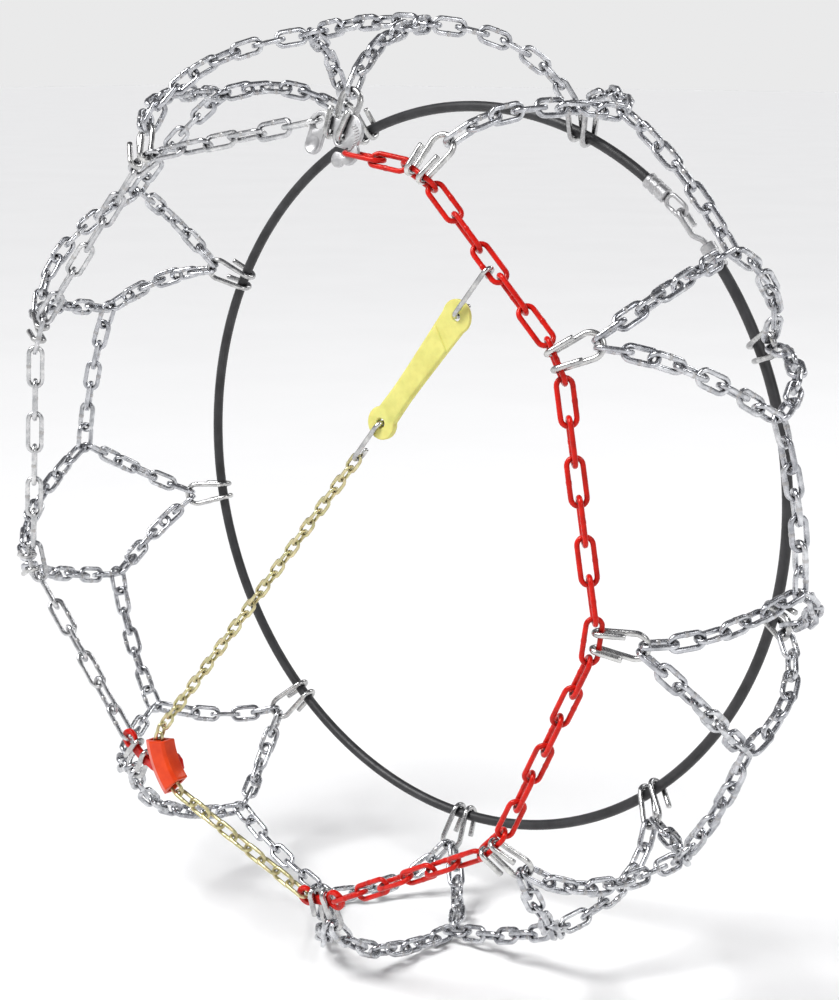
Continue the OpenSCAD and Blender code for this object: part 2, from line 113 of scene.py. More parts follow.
def principal_frame(points, triangles):
    """Centre of mass and principal axes, longest first, of a closed solid.

    Each axis points to the solid's heavier tail.
    """
    a, b, c = (points[triangles[:, k]] for k in range(3))
    volume = np.einsum("ij,ij->i", a, np.cross(b, c)) / 6
    centre = ((a + b + c) * volume[:, None]).sum(0) / 4 / volume.sum()
    a, b, c = a - centre, b - centre, c - centre
    volume = np.einsum("ij,ij->i", a, np.cross(b, c)) / 6
    second = sum(np.einsum("i,ij,ik->jk", volume, v, v) for v in (a, b, c, a + b + c))
    axes = np.linalg.eigh(second)[1].T[::-1]
    tails = []
    for axis in axes:
        p, q, r = a @ axis, b @ axis, c @ axis
        cubes = p**3 + q**3 + r**3 + p * q * r
        cubes += p * p * (q + r) + q * q * (p + r) + r * r * (p + q)
        tails.append(float((volume * cubes).sum()) / abs(volume.sum()))
    axes = np.array([axis if tail >= 0 else -axis for axis, tail in zip(axes, tails)])
    if np.linalg.det(axes) < 0:
        weakest = int(np.argmin(np.abs(tails)))
        axes[weakest] = -axes[weakest]
    return centre, axes


# ---- building meshes ----
class Shape:
    """Points, faces and point values of one piece while it is being built."""

    def __init__(self):
        self.points = []
        self.faces = []
        self.values = {"rub": [], "weld": [], "shade": []}
        self.count = 0

    def add(self, points, faces, shade, rub=0.0, weld=0.0):
        """Adds one solid, with a shade of its own and the shares of each point that are rubbed or welded."""
        points = np.asarray(points, float)
        self.faces += [tuple(int(i) + self.count for i in face) for face in faces]
        self.points.append(points)
        for name, value in (("rub", rub), ("weld", weld), ("shade", shade)):
            self.values[name].append(np.broadcast_to(np.asarray(value, float), len(points)))
        self.count += len(points)

    def piece(self, name, look):
        """The finished object, which carries the point values that its material reads."""
        mesh = bpy.data.meshes.new(name)
        mesh.from_pydata(np.concatenate(self.points).tolist(), [], self.faces)
        for key, parts in self.values.items():
            layer = mesh.attributes.new(key, "FLOAT", "POINT")
            layer.data.foreach_set("value", np.concatenate(parts).astype(np.float32))
        mesh.polygons.foreach_set("use_smooth", [True] * len(mesh.polygons))
        mesh.materials.append(look)
        made = bpy.data.objects.new(name, mesh)
        bpy.context.scene.collection.objects.link(made)
        return made


def ring_faces(rings, sides, closed):
    """Quads between neighbouring rings of points."""
    last = rings if closed else rings - 1
    k, s = np.meshgrid(np.arange(last), np.arange(sides), indexing="ij")
    k, s = k.ravel(), s.ravel()
    following, turned = (k + 1) % rings, (s + 1) % sides
    quads = (k * sides + s, k * sides + turned, following * sides + turned, following * sides + s)
    return np.stack(quads, 1).tolist()


def tube(path, radius, sides=16, chamfer=0.5 * MM):
    """A round wire along an open path, with chamfered flat ends."""
    path = np.asarray(path, float)
    first = (path[1] - path[0]) / np.linalg.norm(path[1] - path[0])
    last = (path[-1] - path[-2]) / np.linalg.norm(path[-1] - path[-2])
    inner = [path[0] + first * chamfer], [path[-1] - last * chamfer]
    path = np.concatenate([path[:1], inner[0], path[1:-1], inner[1], path[-1:]])
    radii = np.full(len(path), radius)
    radii[[0, -1]] -= chamfer
    ahead = np.roll(path, -1, 0) - path
    tangents = ahead + np.roll(ahead, 1, 0)
    tangents[0], tangents[-1] = ahead[0], ahead[-2]
    tangents /= np.linalg.norm(tangents, axis=1)[:, None]
    normal = np.cross(tangents[0], ASKEW)
    turn = np.arange(sides) * TAU / sides
    rings = []
    for point, tangent, r in zip(path, tangents, radii):
        normal = normal - tangent * (normal @ tangent)
        normal /= np.linalg.norm(normal)
        side = np.cross(tangent, normal)
        rings.append(point + r * (np.cos(turn)[:, None] * normal + np.sin(turn)[:, None] * side))
    faces = ring_faces(len(path), sides, False)
    faces.append(list(range(sides))[::-1])
    faces.append([(len(path) - 1) * sides + s for s in range(sides)])
    return np.concatenate(rings), faces


def arc(centre, radius, start, end, x_axis, y_axis, steps):
    """Points on a circle from one angle to another, in degrees, in the plane of two axes."""
    angles = np.radians(np.linspace(start, end, steps + 1))
    x_axis, y_axis = np.asarray(x_axis, float), np.asarray(y_axis, float)
    return np.asarray(centre, float) + radius * (
        np.cos(angles)[:, None] * x_axis + np.sin(angles)[:, None] * y_axis)


# ---- chain links ----
LINK_SIDES = 14
END_STEPS = 12
WELD_HALF = 1.5 * MM       # half the length of a link's weld bead
WELD_RISE = 0.10           # how far the bead stands out, as a share of the wire's radius
WELD_STEPS = (-1.35, -1, -0.75, -0.4, 0, 0.4, 0.75, 1, 1.35)
JOINED_FROM = 1.3          # a solid longer than this share of the usual link is two joined links


def link_shape(long, wide, wire, squareness):
    """One link in its own frame, X along it and Z through its hole.

    Gives its points and faces, and the shares of each point that are rubbed and welded.
    """
    bend, half = (wide - wire) / 2, (long - wide) / 2
    rings = []
    for end in (1, -1):
        for k in range(END_STEPS + 1):
            a = math.pi * (k / END_STEPS - 0.5) + (0 if end > 0 else math.pi)
            out = (math.cos(a), math.sin(a))
            crown = max(0.0, end * out[0]) ** 2
            rings.append((end * half + bend * out[0], bend * out[1], out, crown, 0.0))
        if end > 0:
            for step in WELD_STEPS:
                bead = max(0.0, 1 - step * step) ** 0.5
                rings.append((-step * WELD_HALF, bend, (0, 1), 0.0, bead))
        else:
            rings.append((0, -bend, (0, -1), 0.0, 0.0))
    turn = (np.arange(LINK_SIDES) + 0.5) * TAU / LINK_SIDES
    across, through = np.cos(turn), np.sin(turn)
    spread = np.abs(across) ** squareness + np.abs(through) ** squareness
    section = wire / 2 / spread ** (1 / squareness)
    points, rub, weld = [], [], []
    for x, y, out, crown, bead in rings:
        r = section * (1 + WELD_RISE * bead)
        points.append(np.stack([x + r * across * out[0], y + r * across * out[1], r * through], 1))
        rub.append(crown * np.clip(-across, 0, 1))
        weld.append(np.full(LINK_SIDES, bead))
    faces = ring_faces(len(rings), LINK_SIDES, True)
    return np.concatenate(points), faces, np.concatenate(rub), np.concatenate(weld)


def square_axes(along, through):
    """Axes of a link from its length and the rough direction of its hole."""
    through = through - (through @ along) * along
    through /= np.linalg.norm(through)
    return np.array([along, np.cross(through, along), through])


def links(node):
    """Centre, axes and size of each link of a chain; a solid of two joined links is parted."""
    found = []
    for points, triangles in solids(node):
        centre, axes = principal_frame(points, triangles)
        found.append((centre, axes, np.ptp((points - centre) @ axes.T, axis=0)))
    limit = JOINED_FROM * np.median([size[0] for _, _, size in found])
    single = [link for link in found if link[2][0] < limit]
    for centre, axes, size in [link for link in found if link[2][0] >= limit]:
        beside, its_axes, its_size = min(single, key=lambda link: np.linalg.norm(link[0] - centre))
        along = axes[0] * math.copysign(1, (beside - centre) @ axes[0])
        half = (size[0] - its_size[0]) / 2
        single.append((centre + half * along, square_axes(along, its_axes[1]), its_size))
        single.append((centre - half * along, square_axes(along, its_axes[2]), its_size))
    return single


def chain(node, look, squareness):
    """Every link of a CAD chain node, built again with its weld bead."""
    shape = Shape()
    for centre, axes, (long, wide, wire) in links(node):
        if RANDOM.random() < 0.5:
            axes = axes * np.array([[1], [-1], [-1]])
        local, faces, rub, weld = link_shape(long, wide, wire, squareness)
        shape.add(centre + local @ axes, faces, RANDOM.random(), rub, weld)
    made = shape.piece(node + "_links", look)
    return settle(made, node)


def settle(made, *nodes):
    """A piece rides with the body of the CAD nodes that it stands for, which are hidden."""
    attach(made, BODY_OF[nodes[0]])
    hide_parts(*nodes)
    return made


# ---- bent wire hooks ----
HOOK_WIRE = 4.2 * MM
HOOK_REACH = 22 * MM
BOW_R = 8.5 * MM
PRONG_X = 6 * MM
PRONG_L = 16 * MM
TURN_PLAY = 0.4 * MM


def side_hook_path(held):
    """Centre line of a side hook: X along the wire it grips, its bow up Y, its prongs on the +Z side."""
    r = (held + HOOK_WIRE) / 2 + TURN_PLAY
    lean = math.asin(BOW_R / math.hypot(PRONG_X, HOOK_REACH)) - math.atan2(PRONG_X, HOOK_REACH)
    leg = math.sqrt(PRONG_X**2 + HOOK_REACH**2 - BOW_R**2)
    up = np.array([math.sin(lean), math.cos(lean), 0])
    foot = PRONG_X * X
    prong = np.linspace(1, 0.1, 5)[:, None] * PRONG_L * up + r * Z + foot
    turn = arc(foot, r, 90, 270, up, Z, 12)
    shank = np.linspace(0.1, 0.9, 6)[:, None] * leg * up - r * Z + foot
    half_bow = arc(HOOK_REACH * Y - r * Z, BOW_R, -math.degrees(lean), 90, X, Y, 10)
    right = np.concatenate([prong, turn, shank, half_bow])
    left = (right * [-1, 1, 1])[::-1][1:]
    return np.concatenate([right, left])


def bent_wire(node, path, wire, look):
    """A wire bent along a path, laid on each CAD solid of the same form by centre and principal axes."""
    local, faces = tube(path, wire / 2)
    triangles = [(f[0], f[k], f[k + 1]) for f in faces for k in range(1, len(f) - 1)]
    own_centre, own_axes = principal_frame(local, np.array(triangles))
    shape = Shape()
    for points, corners in solids(node):
        centre, axes = principal_frame(points, corners)
        turn = own_axes.T @ axes
        shape.add(centre + (local - own_centre) @ turn, faces, RANDOM.random())
    return settle(shape.piece(node + "_wire", look), node)


WIRE = 3.4 * MM
WIRE_TIP = 5 * MM          # how far a wire hook's ends run back past its turns


def wire_hook_path(shank, turn_0, turn_1):
    """A shank along X with an open turn below each end."""
    first = arc(-turn_0 * Z, turn_0, 270, 90, X, Z, 12)
    last = arc([shank, 0, -turn_1], turn_1, 90, -90, X, Z, 12)
    return np.concatenate([
        [[WIRE_TIP, 0, -2 * turn_0]], first, np.linspace(0.1, 0.9, 5)[:, None] * shank * X, last,
        [[shank - WIRE_TIP, 0, -2 * turn_1]]])


# ---- plates, turned parts and joined pieces ----
OFF_NORMAL = (0.0, -1.0, 0.3)   # a direction that no plate faces


def plate_axes(points, triangles):
    """Axes of a flat plate: Z along its outer face's normal."""
    a, b, c = (points[triangles[:, k]] for k in range(3))
    normals = np.cross(b - a, c - a)
    z = normals[np.argmax((normals**2).sum(1))]
    z = z / np.linalg.norm(z)
    if z[1] > 0:
        z = -z
    x = np.cross(z, OFF_NORMAL)
    x /= np.linalg.norm(x)
    return np.array([x, np.cross(z, x), z])


def face_loops(local, triangles):
    """Outlines of a plate's upper flat face, in its own X and Y."""
    top = local[:, 2].max()
    flat = [t for t in triangles if (local[t][:, 2] > top - 0.01 * MM).all()]
    edges = {(t[k], t[(k + 1) % 3]) for t in flat for k in range(3)}
    ahead = {a: b for a, b in edges if (b, a) not in edges}
    loops = []
    while ahead:
        start, at = ahead.popitem()
        loop = [start]
        while at != start:
            loop.append(at)
            at = ahead.pop(at)
        loops.append(local[loop][:, :2])
    return loops


def softened(loop, rounds):
    """Cuts a closed outline's corners, so that chords read as curves."""
    for _ in range(rounds):
        after = np.roll(loop, -1, 0)
        loop = np.stack([0.75 * loop + 0.25 * after, 0.25 * loop + 0.75 * after], 1).reshape(-1, 2)
    return loop


def slab(loops, low, top, edge, centre, axes):
    """A slab with rounded edges between two heights, from outlines whose holes run the other way."""
    curve = bpy.data.curves.new("outline", "CURVE")
    curve.dimensions = "2D"
    curve.fill_mode = "BOTH"
    curve.extrude = (top - low) / 2 - edge
    curve.bevel_depth = edge
    curve.bevel_resolution = 3
    curve.offset = -edge
    for loop in loops:
        spline = curve.splines.new("POLY")
        spline.points.add(len(loop) - 1)
        spline.points.foreach_set("co", [v for p in loop for v in (p[0], p[1], 0, 1)])
        spline.use_cyclic_u = True
    holder = bpy.data.objects.new("outline", curve)
    mesh = bpy.data.meshes.new_from_object(holder)
    bpy.data.objects.remove(holder)
    place = np.eye(4)
    place[:3, :3] = axes.T
    place[:3, 3] = centre + axes[2] * (low + top) / 2
    mesh.transform(Matrix(place.tolist()))
    return mesh


def same(made):
    """The change that leaves a plate's outlines or its slab as they are."""
    return made


def plate(node, look, edge, rounds=1, extras=(), loops_change=same, slab_change=same):
    """A CAD plate built again from its own outline and holes, with rounded edges and any extra details."""
    points, triangles = solids(node)[0]
    axes = plate_axes(points, triangles)
    centre = points.mean(0)
    local = (points - centre) @ axes.T
    loops = [softened(loop, rounds) for loop in loops_change(face_loops(local, triangles))]
    parts = [slab_change(slab(loops, local[:, 2].min(), local[:, 2].max(), edge, centre, axes))]
    parts += extras
    made = joined_piece(node + "_plate", parts, look)
    return settle(made, node)


def joined_piece(name, parts, look):
    """One piece made of several meshes."""
    work = bmesh.new()
    for mesh in parts:
        work.from_mesh(mesh)
    mesh = bpy.data.meshes.new(name)
    work.to_mesh(mesh)
    work.free()
    mesh.materials.append(look)
    smooth_by_angle(mesh, 40)
    made = bpy.data.objects.new(name, mesh)
    bpy.context.scene.collection.objects.link(made)
    return made


def plain_mesh(points, faces):
    """A mesh without a material or an object yet."""
    mesh = bpy.data.meshes.new("part")
    mesh.from_pydata(np.asarray(points).tolist(), [], faces)
    return mesh


def rounded(polygon, radius, steps=5):
    """A closed outline with each corner turned into an arc; it runs counter-clockwise."""
    points = []
    count = len(polygon)
    for k, corner in enumerate(np.asarray(polygon, float)):
        before = np.asarray(polygon[k - 1]) - corner
        after = np.asarray(polygon[(k + 1) % count]) - corner
        u, v = before / np.linalg.norm(before), after / np.linalg.norm(after)
        half = math.acos(float(np.clip(u @ v, -1, 1))) / 2
        middle = corner + (u + v) / np.linalg.norm(u + v) * radius / math.sin(half)
        start, end = corner + u * radius / math.tan(half), corner + v * radius / math.tan(half)
        a0 = math.atan2(*(start - middle)[::-1])
        sweep = (math.atan2(*(end - middle)[::-1]) - a0 + math.pi) % TAU - math.pi
        for t in np.linspace(0, 1, steps):
            a = a0 + sweep * t
            points.append(middle + radius * np.array([math.cos(a), math.sin(a)]))
    return np.array(points)


def lathe(profile, centre, axis, steps=32):
    """A closed turned part: radius and height pairs from one pole to the other, round an axis."""
    axis = np.asarray(axis) / np.linalg.norm(axis)
    x = np.cross(axis, ASKEW)
    x /= np.linalg.norm(x)
    y = np.cross(axis, x)
    turn = np.arange(steps) * TAU / steps
    around = np.cos(turn)[:, None] * x + np.sin(turn)[:, None] * y
    rings = [np.asarray(centre) + max(r, 1e-6) * around + h * axis for r, h in profile]
    faces = ring_faces(len(profile), steps, False)
    faces.append(list(range(steps))[::-1])
    faces.append([(len(profile) - 1) * steps + k for k in range(steps)])
    return plain_mesh(np.concatenate(rings), faces)


def smooth_by_angle(mesh, degrees):
    """Shades a mesh smooth, with its sharper edges kept sharp."""
    mesh.polygons.foreach_set("use_smooth", [True] * len(mesh.polygons))
    work = bmesh.new()
    work.from_mesh(mesh)
    bmesh.ops.remove_doubles(work, verts=work.verts, dist=0.01 * MM)
    for edge in work.edges:
        edge.smooth = not (len(edge.link_faces) == 2 and edge.calc_face_angle(0) > math.radians(degrees))
    work.to_mesh(mesh)
    work.free()


# ---- materials ----
class Look:
    """A procedural material under construction: a Principled shader and the nodes that feed it."""

    def __init__(self, name, **sockets):
        self.material = bpy.data.materials.new(name)
        self.material.use_nodes = True
        self.tree = self.material.node_tree
        self.shader = self.tree.nodes["Principled BSDF"]
        self.place = self.node("ShaderNodeTexCoord").outputs["Object"]
        for socket, value in sockets.items():
            self.shader.inputs[socket.replace("_", " ")].default_value = value

    def node(self, kind, **settings):
        made = self.tree.nodes.new(kind)
        for key, value in settings.items():
            setattr(made, key, value)
        return made

    def link(self, out, into):
        self.tree.links.new(out, into)

    def noise(self, size, detail):
        """Noise whose features are about size metres across."""
        made = self.node("ShaderNodeTexNoise")
        made.inputs["Scale"].default_value = 1 / size
        made.inputs["Detail"].default_value = detail
        made.inputs["Roughness"].default_value = 0.55
        self.link(self.place, made.inputs["Vector"])
        return made.outputs["Fac"]

    def ramp(self, value, low, high, start=0.3, end=0.7):
        """Blends two numbers or two colours as value goes from start to end."""
        made = self.node("ShaderNodeValToRGB")
        made.color_ramp.elements[0].position = start
        made.color_ramp.elements[1].position = end
        for element, colour in zip(made.color_ramp.elements, (low, high)):
            element.color = (*colour, 1) if isinstance(colour, tuple) else (colour, colour, colour, 1)
        self.link(value, made.inputs["Fac"])
        return made.outputs["Color"]

    def mix(self, share, low, high, mode="MIX"):
        """Mixes two colours; each value is a socket, a colour or a number."""
        made = self.node("ShaderNodeMix", data_type="RGBA", blend_type=mode)
        for socket, value in ((made.inputs[0], share), (made.inputs[6], low), (made.inputs[7], high)):
            if isinstance(value, bpy.types.NodeSocket):
                self.link(value, socket)
            elif isinstance(value, tuple):
                socket.default_value = (*value, 1)
            else:
                socket.default_value = value
        return made.outputs[2]

    def math(self, operation, first, second):
        """Combines two sockets or numbers, clamped between 0 and 1."""
        made = self.node("ShaderNodeMath", operation=operation, use_clamp=True)
        for socket, value in zip(made.inputs, (first, second)):
            if isinstance(value, bpy.types.NodeSocket):
                self.link(value, socket)
            else:
                socket.default_value = value
        return made.outputs[0]

    def value(self, name):
        """A point value that the mesh carries."""
        return self.node("ShaderNodeAttribute", attribute_name=name).outputs["Fac"]

    def painted_crevice_shade(self, reach):
        """Painted shade from ambient occlusion: 0 in tight places, such as where links meet, and 1 in the
        open.
        """
        made = self.node("ShaderNodeAmbientOcclusion", samples=8)
        made.inputs["Distance"].default_value = reach
        return self.ramp(made.outputs["AO"], 0.0, 1.0, 0.12, 0.62)

    def bump(self, height, depth):
        """Relief of the surface, depth metres deep."""
        made = self.node("ShaderNodeBump")
        made.inputs["Distance"].default_value = depth
        made.inputs["Strength"].default_value = 1.0
        self.link(height, made.inputs["Height"])
        self.link(made.outputs["Normal"], self.shader.inputs["Normal"])

    def colour(self, out):
        self.link(out, self.shader.inputs["Base Color"])

    def roughness(self, out):
        self.link(out, self.shader.inputs["Roughness"])


def zinc_look(name, dark, bright, rough):
    """Zinc plating: cloudy brightness, fine spangle, dull weld beads, worn contact points, and painted shade
    in tight places.
    """
    look = Look(name, Metallic=1.0)
    cloud = look.noise(6 * MM, 4)
    base = look.ramp(cloud, dark, bright, 0.35, 0.65)
    shade = look.ramp(look.value("shade"), (0.84, 0.84, 0.86), (1.0, 1.0, 1.0), 0.0, 1.0)
    base = look.mix(1.0, base, shade, "MULTIPLY")
    weld = look.math("MULTIPLY", look.value("weld"), 0.55)
    base = look.mix(weld, base, (0.42, 0.40, 0.38))
    rub = look.math("MULTIPLY", look.value("rub"), 0.8)
    base = look.mix(rub, base, (0.30, 0.29, 0.28))
    # painted shade: the base colour goes near black where links crowd together
    look.colour(look.mix(look.painted_crevice_shade(5 * MM), (0.13, 0.13, 0.14), base))
    fine = look.noise(0.9 * MM, 3)
    gloss = look.ramp(fine, rough - 0.06, rough + 0.10)
    look.roughness(look.mix(weld, gloss, (0.55, 0.55, 0.55)))
    relief = look.math("ADD", look.math("MULTIPLY", fine, 0.5), look.math("MULTIPLY", cloud, 0.5))
    look.bump(relief, 0.12 * MM)
    return look.material


def paint_look(name, colour, deep, coat):
    """Gloss paint that thins to dark steel where links rub, with painted shade in tight places."""
    look = Look(name, Coat_Weight=coat, Coat_Roughness=0.06, Coat_IOR=1.45, IOR=1.5)
    look.shader.inputs["Specular Tint"].default_value = (1.0, 0.30, 0.22, 1)
    cloud = look.noise(9 * MM, 3)
    base = look.ramp(cloud, deep, colour, 0.3, 0.6)
    rub = look.value("rub")
    chips = look.math("MULTIPLY", rub, look.ramp(look.noise(1.2 * MM, 4), 0.2, 1.6, 0.35, 0.6))
    worn = look.math("GREATER_THAN", chips, 0.62)
    base = look.mix(worn, base, (0.16, 0.13, 0.12))
    pooled = look.math("MULTIPLY", look.value("weld"), 0.35)
    base = look.mix(pooled, base, deep)
    # painted shade: the paint goes deep dark red where links crowd together
    look.colour(look.mix(look.painted_crevice_shade(4 * MM), (0.12, 0.004, 0.003), base))
    look.roughness(look.ramp(look.noise(2 * MM, 2), 0.24, 0.38))
    look.bump(look.noise(1.6 * MM, 2), 0.15 * MM)
    return look.material


def gold_look(name):
    """Yellow passivation: greenish gold that drifts to olive and pale straw, with painted shade in tight
    places.
    """
    look = Look(name, Metallic=1.0)
    drift = look.noise(7 * MM, 3)
    base = look.ramp(drift, (0.50, 0.46, 0.27), (0.74, 0.68, 0.44), 0.35, 0.65)
    film = look.ramp(look.noise(3.1 * MM, 2), (0.95, 1.0, 0.88), (1.0, 0.93, 0.90), 0.35, 0.65)
    base = look.mix(1.0, base, film, "MULTIPLY")
    rub = look.math("MULTIPLY", look.value("rub"), 0.7)
    base = look.mix(rub, base, (0.34, 0.32, 0.27))
    # painted shade: the gold goes dark olive where parts crowd together
    look.colour(look.mix(look.painted_crevice_shade(4 * MM), (0.12, 0.11, 0.06), base))
    look.roughness(look.ramp(look.noise(0.8 * MM, 3), 0.24, 0.42))
    look.bump(look.noise(0.7 * MM, 3), 0.08 * MM)
    return look.material


def plastic_look(name, colour, deep):
    """Glossy moulded plastic with faint flow marks and fine scuffs."""
    look = Look(name, IOR=1.45, Coat_Weight=0.2, Coat_Roughness=0.15)
    look.shader.inputs["Specular Tint"].default_value = (1.0, 0.55, 0.40, 1)
    look.colour(look.ramp(look.noise(12 * MM, 3), deep, colour, 0.3, 0.65))
    scuff = look.noise(0.5 * MM, 4)
    look.roughness(look.ramp(scuff, 0.30, 0.48, 0.35, 0.7))
    look.bump(look.math("MULTIPLY", scuff, look.noise(5 * MM, 2)), 0.05 * MM)
    return look.material


def rubber_look(name, colour, deep):
    """Soft moulded rubber: satin, slightly translucent, with a dusty mottling."""
    look = Look(name, IOR=1.48, Subsurface_Weight=0.12, Subsurface_Scale=0.002)
    mottle = look.noise(8 * MM, 4)
    base = look.ramp(mottle, deep, colour, 0.3, 0.62)
    specks = look.ramp(look.noise(1.1 * MM, 2), 0.0, 1.0, 0.66, 0.74)
    look.colour(look.mix(look.math("MULTIPLY", specks, 0.25), base, (0.45, 0.42, 0.16)))
    look.roughness(look.ramp(look.noise(2 * MM, 3), 0.42, 0.62))
    look.bump(look.noise(0.45 * MM, 3), 0.06 * MM)
    return look.material


def sheath_look(name):
    """Black plastic sheath over a laid cable."""
    look = Look(name, IOR=1.48)
    cloud = look.noise(15 * MM, 4)
    look.colour(look.ramp(cloud, (0.012, 0.012, 0.013), (0.035, 0.035, 0.038), 0.3, 0.7))
    look.roughness(look.ramp(look.noise(1.5 * MM, 3), 0.35, 0.55))
    look.bump(look.noise(0.8 * MM, 2), 0.08 * MM)
    return look.material


LOOKS = {
    "zinc_tread": zinc_look("zinc_tread", (0.40, 0.41, 0.43), (0.74, 0.75, 0.77), 0.22),
    "zinc_side": zinc_look("zinc_side", (0.46, 0.47, 0.48), (0.76, 0.76, 0.76), 0.24),
    "zinc_wire": zinc_look("zinc_wire", (0.42, 0.42, 0.42), (0.72, 0.72, 0.70), 0.22),
    "zinc_forged": zinc_look("zinc_forged", (0.52, 0.52, 0.52), (0.70, 0.70, 0.69), 0.38),
    "red_paint": paint_look("red_paint", (0.60, 0.008, 0.004), (0.38, 0.004, 0.003), 0.2),
    "gold_passivated": gold_look("gold_passivated"),
    "lock_plastic": plastic_look("lock_plastic", (0.70, 0.052, 0.006), (0.56, 0.030, 0.004)),
    "strap_rubber": rubber_look("strap_rubber", (0.70, 0.66, 0.19), (0.60, 0.56, 0.145)),
    "cable_sheath": sheath_look("cable_sheath"),
}


# ---- chains and hooks ----
ROUND, EASED, SQUARED = 2.0, 2.3, 2.9    # exponents of the wire's section: 2 is a circle
chain_nodes = {
    "tread_strand": SQUARED, "cross_chain": SQUARED, "junction_links": EASED, "inner_cross": SQUARED,
    "red_side": ROUND, "silver_side": ROUND, "red_held": ROUND, "silver_held": ROUND,
    "adjuster_chain": ROUND, "tension_chain": ROUND}
for node in sorted(frame["nodes"]):
    for start, squareness in chain_nodes.items():
        if node.startswith(start):
            chain(node, LOOKS[SLOT_OF[node]], squareness)

SIDE_WIRE = 3.6 * MM
PLATE_T = 3.2 * MM
HOOP_WIRE = 8 * MM
on_plates = ("outer_hook_5", "outer_hook_6", "outer_hook_10")    # the others grip side chain links
for k in range(1, 11):
    node = f"outer_hook_{k}"
    held = PLATE_T if node in on_plates else SIDE_WIRE
    bent_wire(node, side_hook_path(held), HOOK_WIRE, LOOKS["zinc_wire"])
bent_wire("inner_hooks", side_hook_path(HOOP_WIRE), HOOK_WIRE, LOOKS["zinc_wire"])

STRAP_T = 5 * MM
STRAP_PLAY = 0.5 * MM
UPPER_REACH, LOWER_REACH = 39 * MM, 32 * MM    # from the back of the strap's turn to the other turn
top_turn = (SIDE_WIRE + WIRE) / 2 + TURN_PLAY
strap_turn = (STRAP_T + WIRE) / 2 + STRAP_PLAY
eye_turn = 4 * MM
upper_path = wire_hook_path(UPPER_REACH - strap_turn, top_turn, strap_turn)
lower_path = wire_hook_path(LOWER_REACH - strap_turn, strap_turn, eye_turn)
bent_wire("upper_wire_hook", upper_path, WIRE, LOOKS["zinc_wire"])
bent_wire("lower_wire_hook", lower_path, WIRE, LOOKS["zinc_wire"])


# ---- the closing hook and the painted plates ----
SIDE_R = 278 * MM
SIDE_Y = 112 * MM
CLOSING_AT, CLOSING_LEAN = 12, 14    # degrees
DIMPLE_R, DIMPLE_WIDER = 4.2 * MM, 1.26
RIDGES, RIDGE_HALF, RIDGE_R = 10, 1.9 * MM, 0.5 * MM


def leaning_frame(angle, lean):
    """Origin and axes of a plate held by a leaning outer hook: X along the side chain, Z out."""
    a, t = math.radians(angle), math.radians(lean)
    out = np.array([math.sin(a), 0, math.cos(a)])
    axes = np.array([
        [math.cos(a), 0, -math.sin(a)],
        math.cos(t) * out + math.sin(t) * Y,
        math.sin(t) * out - math.cos(t) * Y])
    return SIDE_R * out - SIDE_Y * Y, axes


def wider_dimple(loops):
    """Opens the dimple's outline to the broad rim that the press leaves."""
    middles = [loop.mean(0) for loop in loops]
    radii = [np.linalg.norm(loop - middle, axis=1) for loop, middle in zip(loops, middles)]
    is_dimple = [np.ptp(r) < 0.2 * MM and abs(r.mean() - DIMPLE_R) < 0.25 * MM for r in radii]
    wider = [middle + (loop - middle) * DIMPLE_WIDER for loop, middle in zip(loops, middles)]
    return [w if found else loop for loop, w, found in zip(loops, wider, is_dimple)]


def closing_hook_details():
    """The pressed dimple of its tab, and the short slanted grip ridges along its body's curve."""
    origin, axes = leaning_frame(CLOSING_AT, CLOSING_LEAN)
    front = PLATE_T / 2
    dimple = origin + np.array([-16, -12, 0]) * MM @ axes
    rim = DIMPLE_R * DIMPLE_WIDER + 0.15 * MM
    cup = [(0, -front), (rim, -front), (rim, front - 0.1 * MM), (rim - 0.5 * MM, front - 0.25 * MM),
           (rim - 1.5 * MM, front - 1.0 * MM), (rim - 3 * MM, front - 1.35 * MM), (0, front - 1.4 * MM)]
    parts = [lathe(cup, dimple, axes[2])]
    slant = np.array([0.80, 0.60, 0])
    middle, reach = np.array([9.5, -1.5, 0]) * MM, 10.2 * MM
    for angle in np.radians(np.linspace(62, -42, RIDGES)):
        spot = middle + reach * np.array([math.cos(angle), math.sin(angle), 0])
        ends = [spot + t * RIDGE_HALF * slant for t in (-1, -0.5, 0.5, 1)]
        path = origin + (np.array(ends) + [0, 0, front + 0.02 * MM]) @ axes
        parts.append(plain_mesh(*tube(path, RIDGE_R, 10, chamfer=0.3 * MM)))
    return parts


plate("closing_hook", LOOKS["zinc_forged"], 0.6 * MM, 1, closing_hook_details(), wider_dimple)
plate("red_connector", LOOKS["red_paint"], 0.6 * MM)
plate("lock_plate", LOOKS["red_paint"], 0.6 * MM)


# ---- the strap ----
HEAD_R = 11.5 * MM
THIN_SHARE = 0.56                          # of the full thickness, at the upper head
THIN_TO, FULL_FROM = 70 * MM, 92 * MM      # distances down the strap from its upper hole


def strap_frame():
    """Origin at the strap's upper hole in its middle plane; X down the strap, Z out of the wheel."""
    low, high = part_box("rubber_strap")
    upper = np.array([high.x - HEAD_R, (low.y + high.y) / 2, high.z - HEAD_R])
    lower = np.array([low.x + HEAD_R, (low.y + high.y) / 2, low.z + HEAD_R])
    x = (lower - upper) / np.linalg.norm(lower - upper)
    z = np.array([0.0, -1.0, 0.0])
    return upper, np.array([x, np.cross(z, x), z])


def thin_head(mesh):
    """Presses the strap's slab thinner from its upper end to its waist; the lower head stays full."""
    origin, axes = strap_frame()
    for vertex in mesh.vertices:
        local = axes @ (np.array(vertex.co) - origin)
        local[2] *= np.interp(local[0], [THIN_TO, FULL_FROM], [THIN_SHARE, 1.0])
        vertex.co = origin + local @ axes
    return mesh


